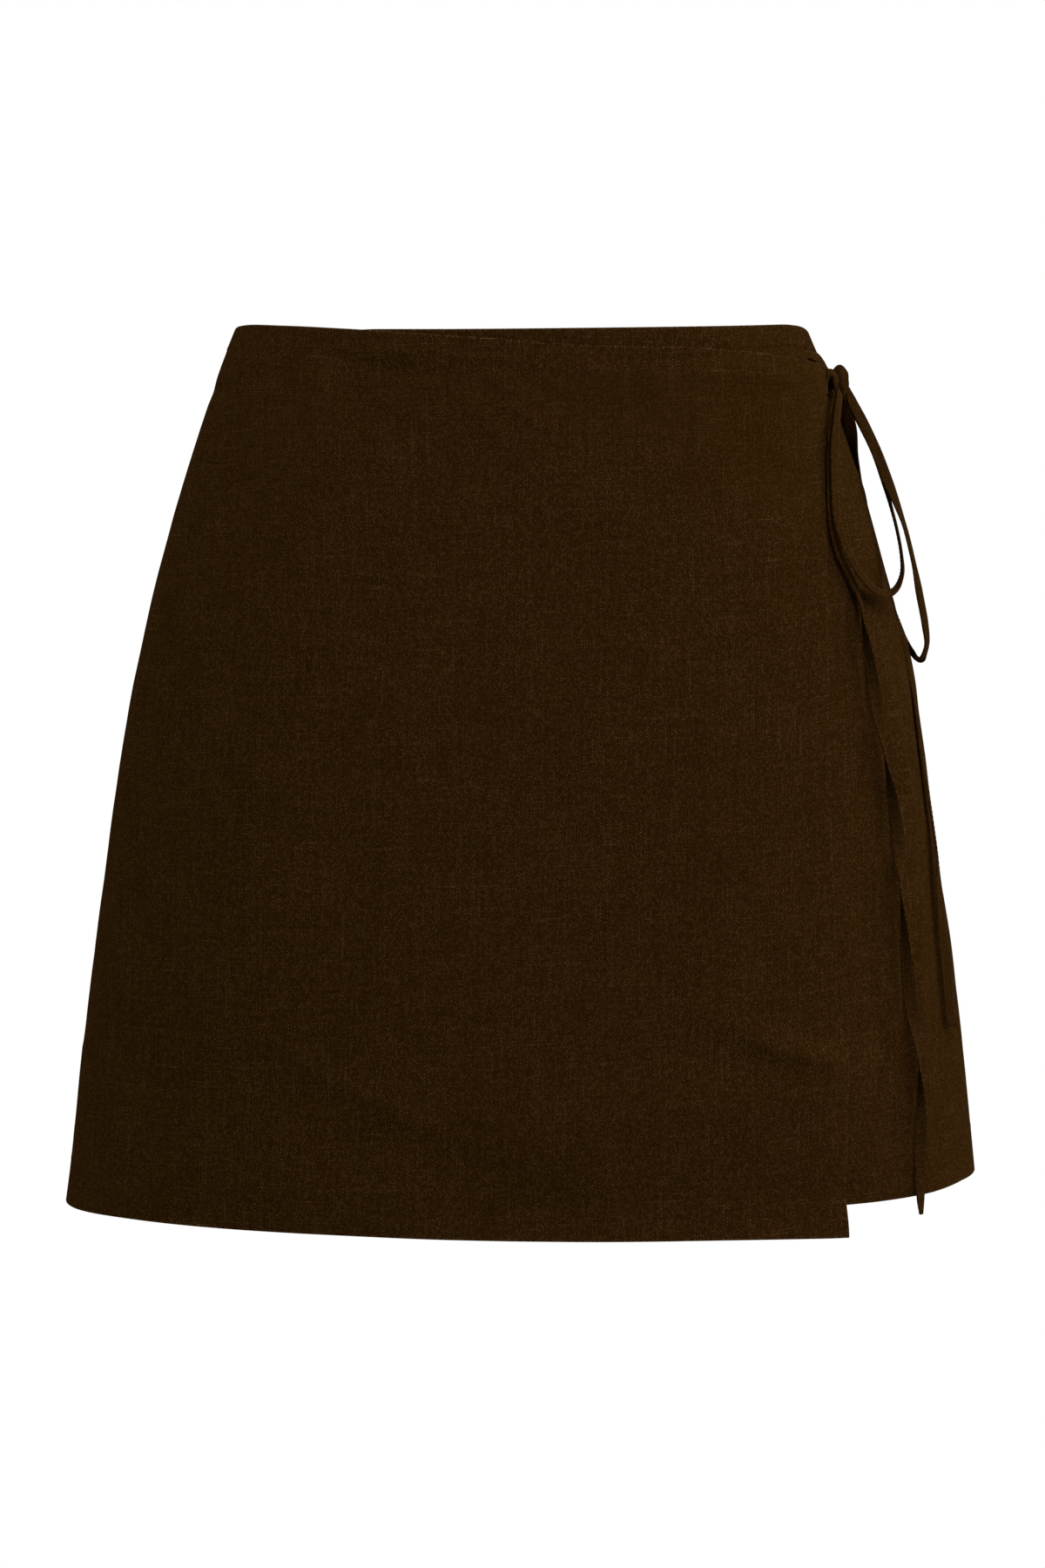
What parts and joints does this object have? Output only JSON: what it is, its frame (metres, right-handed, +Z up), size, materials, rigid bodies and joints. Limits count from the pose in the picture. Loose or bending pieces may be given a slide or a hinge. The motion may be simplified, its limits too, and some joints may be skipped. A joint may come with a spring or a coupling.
{
  "type": "wrap skirt",
  "caption": "Short A-line wrap skirt in woven cloth, filled out as worn: the outer front crosses over and ties at the side in a bow.",
  "frame": {"origin": "middle of the waist, level with the waist edge at the centre front", "axes": "+Z up through the waist, -Y the front, +X the wearer's left, where the bow is"},
  "size_m": [0.419, 0.3108, 0.405],
  "materials": {
    "linen": "dark brown plain-woven linen, matt",
    "tie_linen": "dark brown linen tape, folded and sewn flat, matt"
  },
  "bodies": {
    "root": {"back_panel": "linen", "front_under": "linen", "front_overlap": "linen", "tie_overlap": "tie_linen", "tie_side": "tie_linen", "bow_knot": "tie_linen", "bow_loop_front": "tie_linen", "bow_loop_back": "tie_linen", "bow_tail_long": "tie_linen", "bow_tail_short": "tie_linen"}
  },
  "joints": []
}
